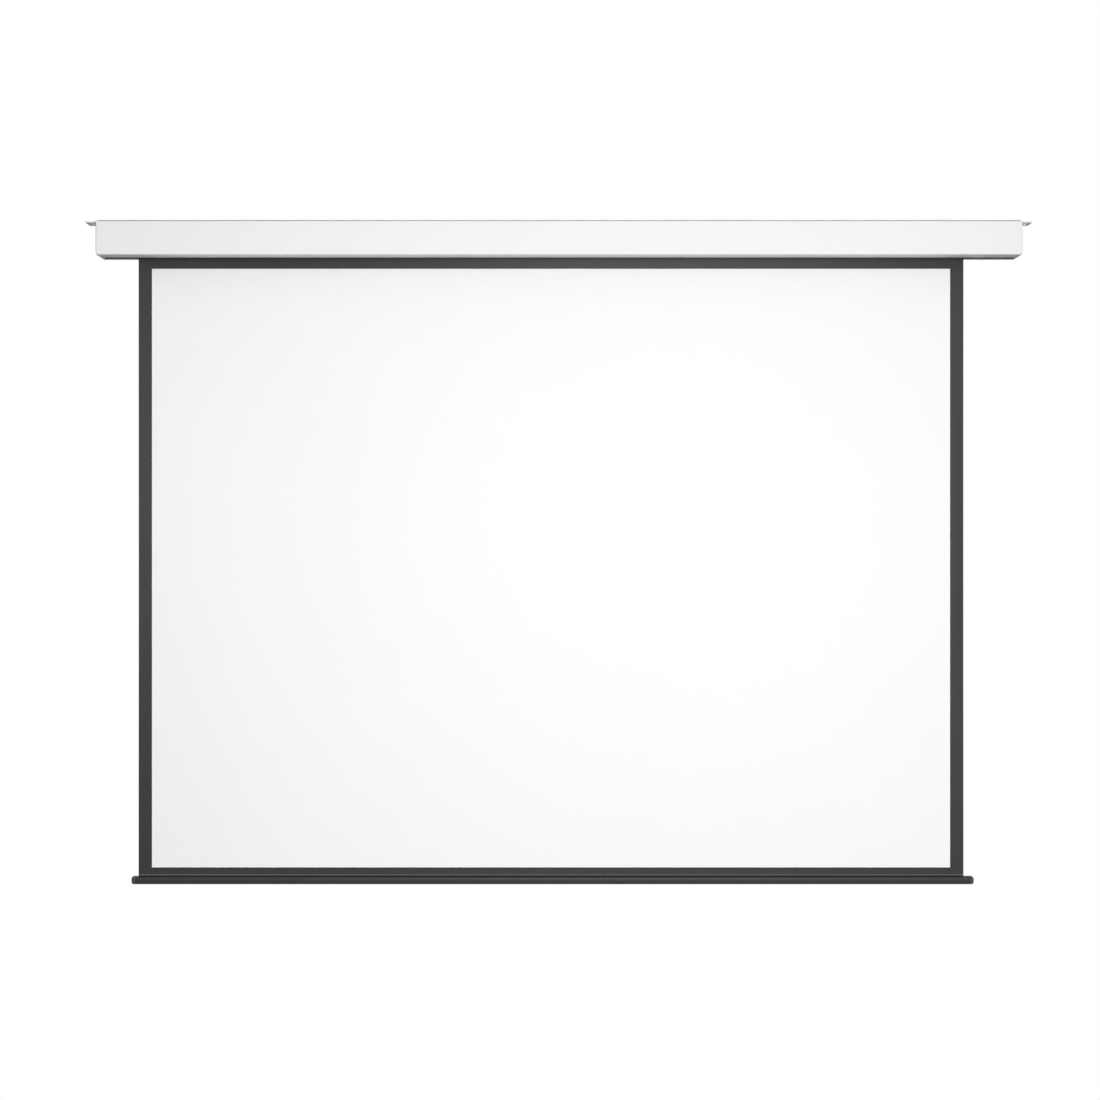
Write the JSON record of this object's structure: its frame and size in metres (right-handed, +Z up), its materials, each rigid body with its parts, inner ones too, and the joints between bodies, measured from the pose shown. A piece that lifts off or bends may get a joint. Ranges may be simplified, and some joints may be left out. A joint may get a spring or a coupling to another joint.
{
  "type": "motorized projection screen",
  "caption": "Electric projection screen: a white housing with a motor in its roller lowers a white screen with a black border on a weighted bottom bar.",
  "frame": {"origin": "middle of the housing's flat back face, which lies against the wall", "axes": "+X to the right of somebody who looks at the picture, +Y into the wall, +Z up"},
  "size_m": [2.39, 0.09, 1.68],
  "materials": {
    "white_paint": "smooth semi-gloss powder coat",
    "zinc_steel": "bright zinc plating",
    "tube_aluminium": "drawn, lightly satin",
    "motor_steel": "plain drawn steel",
    "copper_winding": "varnished winding",
    "black_plastic": "fine moulded texture",
    "grey_plastic": "fine moulded texture",
    "white_nylon": "plain",
    "yellow_plastic": "plain",
    "red_plastic": "plain",
    "black_rubber": "plain",
    "white_screen": "matte viewing surface with a fine weave",
    "black_screen": "matte black coated cloth",
    "black_bar": "matte black powder coat"
  },
  "bodies": {
    "root": {"housing_shell": "white_paint", "left_end_cap": "white_paint", "right_end_cap": "white_paint", "left_cap_screw_1": "zinc_steel", "left_cap_screw_2": "zinc_steel", "left_cap_screw_3": "zinc_steel", "left_cap_screw_4": "zinc_steel", "right_cap_screw_1": "zinc_steel", "right_cap_screw_2": "zinc_steel", "right_cap_screw_3": "zinc_steel", "right_cap_screw_4": "zinc_steel", "idler_bracket": "zinc_steel", "idler_bracket_screw_upper": "zinc_steel", "idler_bracket_screw_lower": "zinc_steel", "idler_pin": "zinc_steel", "idler_pin_nut": "zinc_steel", "motor_bracket": "zinc_steel", "motor_bracket_screw_upper": "zinc_steel", "motor_bracket_screw_lower": "zinc_steel", "motor_head_screw_front": "zinc_steel", "motor_head_screw_rear": "zinc_steel", "motor_casing": "motor_steel", "motor_head": "black_plastic", "limit_switch_pack": "grey_plastic", "start_capacitor": "tube_aluminium", "motor_stator": "copper_winding", "motor_brake": "motor_steel", "planetary_gearbox": "grey_plastic", "terminal_box_base": "grey_plastic", "terminal_box_lid": "grey_plastic", "terminal_lid_screw_1": "zinc_steel", "terminal_lid_screw_2": "zinc_steel", "terminal_box_screw_1": "zinc_steel", "terminal_box_screw_2": "zinc_steel", "terminal_block": "white_nylon", "cable_grommet": "black_rubber", "motor_lead": "black_rubber", "black_backing": "black_screen", "viewing_face": "white_screen"},
    "roller": {"roller_tube": "tube_aluminium", "fabric_roll": "black_screen", "idler_plug": "black_plastic", "idler_bush": "white_nylon", "drive_wheel": "black_plastic", "tube_rivet_upper": "zinc_steel", "tube_rivet_lower": "zinc_steel", "output_shaft": "motor_steel", "shaft_clip": "zinc_steel", "limit_crown": "black_plastic"},
    "bar": {"bottom_bar": "black_bar", "bar_end_cap_right": "black_plastic", "bar_end_cap_left": "black_plastic", "hem_rod": "zinc_steel", "bottom_hem": "black_screen"},
    "upper_limit": {"upper_limit_screw": "yellow_plastic"},
    "lower_limit": {"lower_limit_screw": "red_plastic"}
  },
  "joints": [
    {"name": "screen_travel", "type": "slide", "parent": "root", "child": "bar", "axis": [0, 0, 1], "range_m": [0, 1.592], "deforming": ["black_backing", "viewing_face"]},
    {"name": "roller_spin", "type": "hinge", "parent": "root", "child": "roller", "pos_m": [0, -0.052, 0.008], "axis": [1, 0, 0], "range_deg": [0, 3367]},
    {"name": "upper_limit_adjust", "type": "hinge", "parent": "root", "child": "upper_limit", "pos_m": [1.05225, -0.052, -0.012], "axis": [0, 0, 1], "continuous": true},
    {"name": "lower_limit_adjust", "type": "hinge", "parent": "root", "child": "lower_limit", "pos_m": [1.06825, -0.052, -0.012], "axis": [0, 0, 1], "continuous": true}
  ],
  "couplings": [
    {"joint": "roller_spin", "follows": "screen_travel", "rad_per_m": 36.9}
  ]
}
